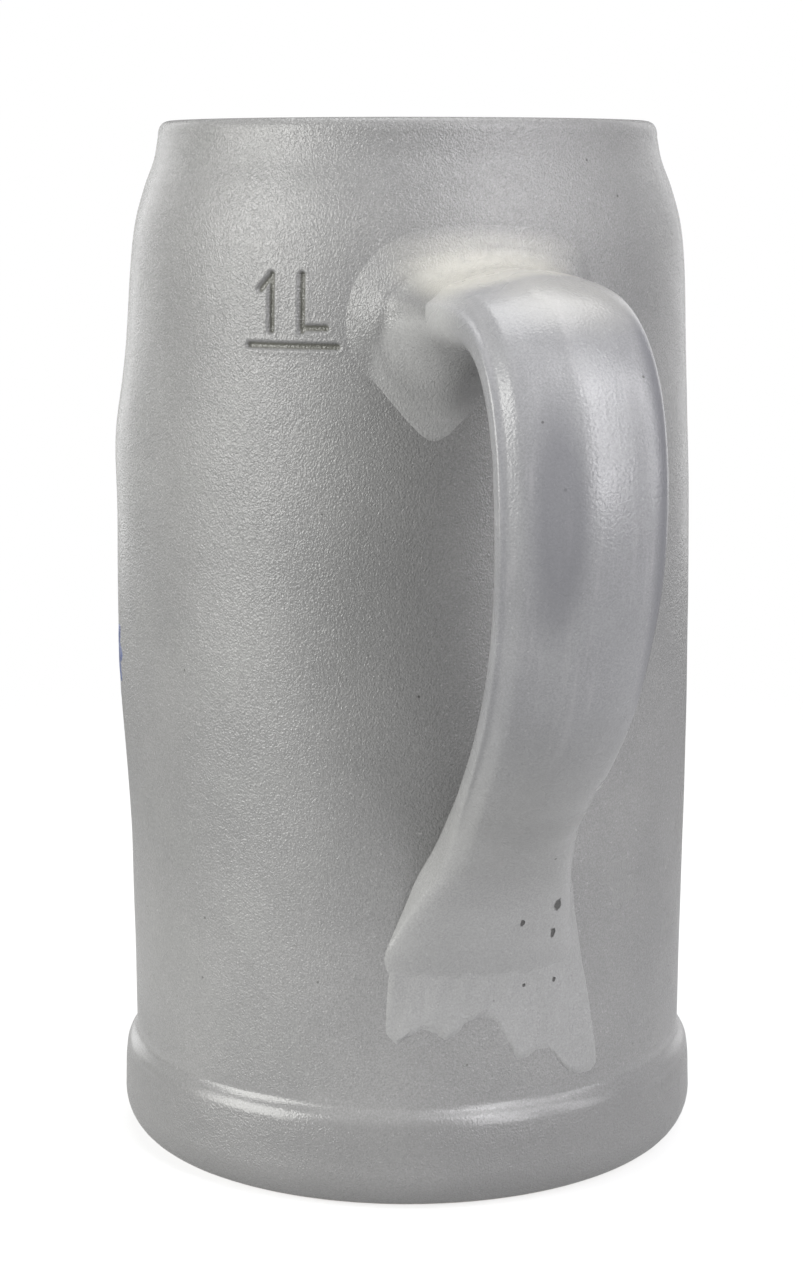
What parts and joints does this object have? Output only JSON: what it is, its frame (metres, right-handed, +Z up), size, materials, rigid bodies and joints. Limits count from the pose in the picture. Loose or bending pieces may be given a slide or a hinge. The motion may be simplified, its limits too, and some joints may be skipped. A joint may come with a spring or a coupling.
{
  "type": "beer stein",
  "caption": "Lidless one-litre stoneware beer stein: a turned straight mug with a rolled foot band and a drawn-in rim, and a fluted strap handle luted on at one side.",
  "frame": {"origin": "centre of the flat underside, on the turning axis of the body", "axes": "+Z up along the turning axis, +X out through the middle of the handle, +Y to the drinker's left when the handle is in the right hand"},
  "size_m": [0.1591, 0.1106, 0.192],
  "materials": {
    "body_stoneware": "satin",
    "handle_stoneware": "satin",
    "upper_slip": "satin",
    "lower_slip": "satin",
    "unglazed_clay": "matte",
    "cobalt_paint": "satin"
  },
  "bodies": {
    "root": {"mug_body": "body_stoneware", "handle_strap": "handle_stoneware", "upper_joint_slip": "upper_slip", "lower_joint_slip": "lower_slip"}
  },
  "joints": []
}
